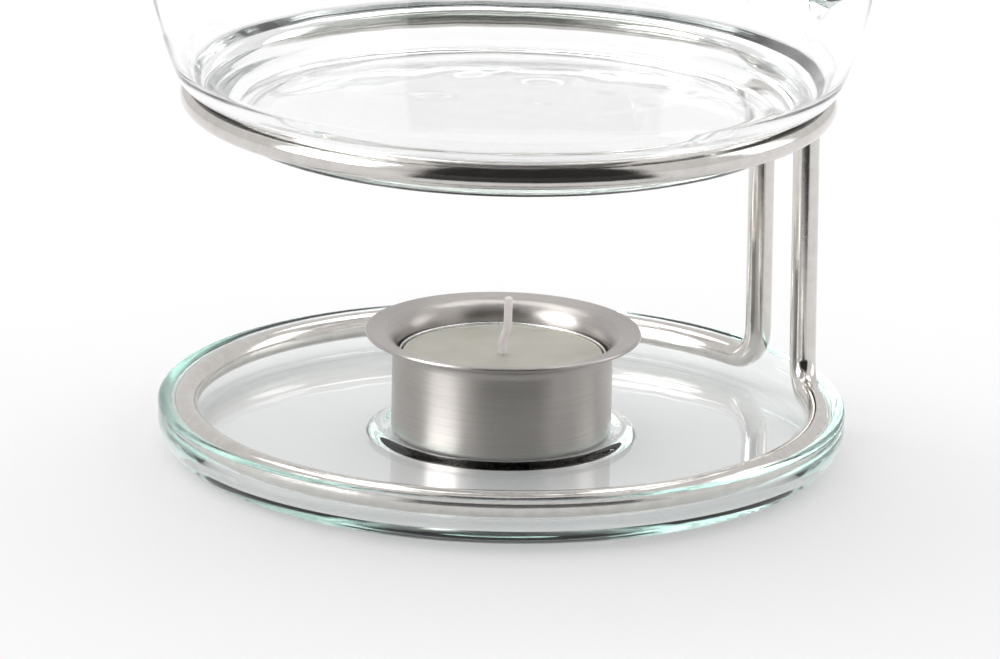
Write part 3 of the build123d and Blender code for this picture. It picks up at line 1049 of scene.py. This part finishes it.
def dome(crown, edge, count):
    """An arc that is level over the axis and ends at the edge, from the axis outwards."""
    drop = crown - edge[1]
    radius = (edge[0] ** 2 + drop**2) / (2 * drop)
    turns = steps(0, asin(edge[0] / radius), count)
    return [(radius * sin(a), crown - radius + radius * cos(a)) for a in turns]


def lid_outline():
    """The lid from the middle of its underside, round the skirt and flange, up to its knob."""
    inner = skirt_r - lid_glass
    tip = lid_glass / 2
    corner = 0.8
    flange_top = lid_low + lid_edge
    points = dome(lid_crown - lid_glass, (inner, lid_low), 24)
    points += line(points[-1], (inner, skirt_low + tip), 8)
    points += arc((inner + tip, skirt_low + tip), tip, 180, 360, 14)[1:]
    points += line(points[-1], (skirt_r, lid_low - corner), 6)
    points += arc((skirt_r + corner, lid_low - corner), corner, 180, 90, 6)[1:]
    points += line(points[-1], (lid_r - lid_edge / 2, lid_low), 6)
    points += arc((lid_r - lid_edge / 2, lid_low + lid_edge / 2), lid_edge / 2, -90, 90, 12)[1:]
    points += line(points[-1], (skirt_r + 2.4, flange_top), 4)
    over = dome(lid_crown, (skirt_r, flange_top), 40)[::-1]
    foot = next(i for i, p in enumerate(over) if p[0] < skirt_r - shoulder_in)
    arrive = (over[foot][0] + 1.8, over[foot][1] - 0.9)
    points += bezier(points[-1], (skirt_r + 0.6, flange_top), arrive, over[foot], 10)
    stem = next(i for i, p in enumerate(over) if p[0] < stem_r)
    points += over[foot + 1 : stem]
    waist = (5.6, lid_crown + 0.7)
    join_r = 7.4
    join = (join_r, knob_z - sqrt(knob_r**2 - join_r**2))
    leave = (points[-1][0] - 2.2, points[-1][1] + 0.3)
    points += bezier(points[-1], leave, (waist[0], waist[1] - 0.9), waist, 8)
    points += bezier(waist, (waist[0], waist[1] + 0.6), (join[0] - 0.9, join[1] - 0.5), join, 6)
    points += arc((0, knob_z), knob_r, -degrees(acos(join_r / knob_r)), 90, 44)[1:-1]
    return points + [(0, knob_z + knob_r)]


lid = lathe("glass_lid", lid_outline(), around=224)
shade(lid, 60)
dress(lid, pot_glass_look, "borosilicate_glass", "lid", "lid", "lid_skirt", "lid_knob")

# ---- table, light, camera ---------------------------------------------------------------------


def table():
    """A wide pale table top under the object."""
    mesh = bmesh.new()
    half = 7.0
    drop = 0.00002
    corners = ((-half, -half), (half, -half), (half, half), (-half, half))
    mesh.faces.new([mesh.verts.new((x, y, -drop)) for x, y in corners])
    data = bpy.data.meshes.new("table_top")
    mesh.to_mesh(data)
    mesh.free()
    sheet = new_object("table_top", data)
    sheet.data.materials.append(table_material())


table()


def softbox(name, place, aim, size, power, diffuse=True):
    """A rectangular light that faces a point."""
    data = bpy.data.lights.new(name, "AREA")
    data.shape = "RECTANGLE"
    data.size, data.size_y = size
    data.energy = power
    box = bpy.data.objects.new(name, data)
    bpy.context.scene.collection.objects.link(box)
    box.location = place
    box.rotation_euler = (Vector(aim) - Vector(place)).to_track_quat("-Z", "Y").to_euler()
    box.visible_camera = False
    box.visible_diffuse = diffuse


view_azimuth = radians(34.5)
view_right = Vector((cos(view_azimuth), sin(view_azimuth), 0))
view_away = Vector((-sin(view_azimuth), cos(view_azimuth), 0))


def from_view(right, away, up):
    """A point given to the right of, away from and above the dish as the camera sees it."""
    return view_right * right + view_away * away + Vector((0, 0, up))


def dark_flag(azimuths, rises, near, distance):
    """A black sheet that starts on the table before the dish and curves up round the camera,
    which only reflections meet, and only on its upper side.  Azimuths are to the right of the
    camera's direction and rises above the table, in degrees."""
    mesh = bmesh.new()
    turns = [radians(a) for a in steps(azimuths[0], azimuths[1], 24)]
    lift = 0.0004
    climb = [radians(a) for a in steps(rises[0], rises[1], 16)]
    profile = [(out, lift) for out in steps(near, distance, 8)]
    profile += [(distance * cos(a), distance * sin(a)) for a in climb]
    rows = []
    for out, up in profile:
        rows.append([mesh.verts.new(from_view(out * sin(a), -out * cos(a), up)) for a in turns])
    for low, high in zip(rows, rows[1:]):
        for i in range(len(low) - 1):
            mesh.faces.new((low[i], high[i], high[i + 1], low[i + 1]))
    data = bpy.data.meshes.new("dark_flag")
    mesh.to_mesh(data)
    mesh.free()
    flag = new_object("dark_flag", data)
    made, nodes, links, shader, output = material("black_velvet")
    shader.inputs["Base Color"].default_value = (0.02, 0.02, 0.02, 1)
    shader.inputs["Roughness"].default_value = 1.0
    path = nodes.new("ShaderNodeLightPath")
    clear = nodes.new("ShaderNodeBsdfTransparent")
    mix = nodes.new("ShaderNodeMixShader")
    side = nodes.new("ShaderNodeNewGeometry")
    shown = nodes.new("ShaderNodeMath")
    shown.operation = "SUBTRACT"
    shown.use_clamp = True
    links.new(path.outputs["Glossy Depth"], shown.inputs[0])
    links.new(side.outputs["Backfacing"], shown.inputs[1])
    links.new(shown.outputs[0], mix.inputs[0])
    links.new(clear.outputs["BSDF"], mix.inputs[1])
    links.new(shader.outputs["BSDF"], mix.inputs[2])
    links.new(mix.outputs["Shader"], output.inputs["Surface"])
    flag.data.materials.append(made)
    flag.visible_camera = False
    flag.visible_diffuse = False
    flag.visible_shadow = False


dark_flag((-29, 46), (1, 67), 0.12, 0.9)

middle = (0, 0, 0.05)
softbox("overhead", from_view(-0.1, 0.45, 1.3), middle, (1.5, 1.0), 10)
softbox("left_window", from_view(-1.27, -0.6, 0.62), middle, (0.9, 1.1), 26, diffuse=False)
softbox("right_window", from_view(1.35, 0.3, 0.6), middle, (0.6, 1.0), 3)

world = bpy.data.worlds.new("studio")
bpy.context.scene.world = world
world.use_nodes = True
world.node_tree.nodes["Background"].inputs["Color"].default_value = (1.0, 0.992, 0.992, 1)
world.node_tree.nodes["Background"].inputs["Strength"].default_value = 0.81

camera_distance = 1.2
camera_elevation = radians(15.6)
camera_roll = radians(-1.3)
camera_focus_z = 0.0395
camera_drop = 0.0168
camera_left = 0.0006

camera_data = bpy.data.cameras.new("camera")
camera_data.lens = 230.4
camera_data.sensor_width = 36
camera_data.clip_start = 0.05
camera = bpy.data.objects.new("camera", camera_data)
bpy.context.scene.collection.objects.link(camera)
camera.location = from_view(
    0, -camera_distance * cos(camera_elevation), camera_focus_z + camera_distance * sin(camera_elevation)
)
aim = from_view(-camera_left, 0, camera_focus_z - camera_drop)
turn = (aim - camera.location).to_track_quat("-Z", "Y").to_matrix().to_4x4()
camera.matrix_world = Matrix.Translation(camera.location) @ turn @ Matrix.Rotation(-camera_roll, 4, "Z")
bpy.context.scene.camera = camera

bpy.context.scene.view_settings.view_transform = "Standard"
bpy.context.scene.cycles.caustics_refractive = False
bpy.context.scene.cycles.max_bounces = 24
bpy.context.scene.cycles.glossy_bounces = 24
bpy.context.scene.cycles.transmission_bounces = 24
bpy.context.scene.cycles.transparent_max_bounces = 48
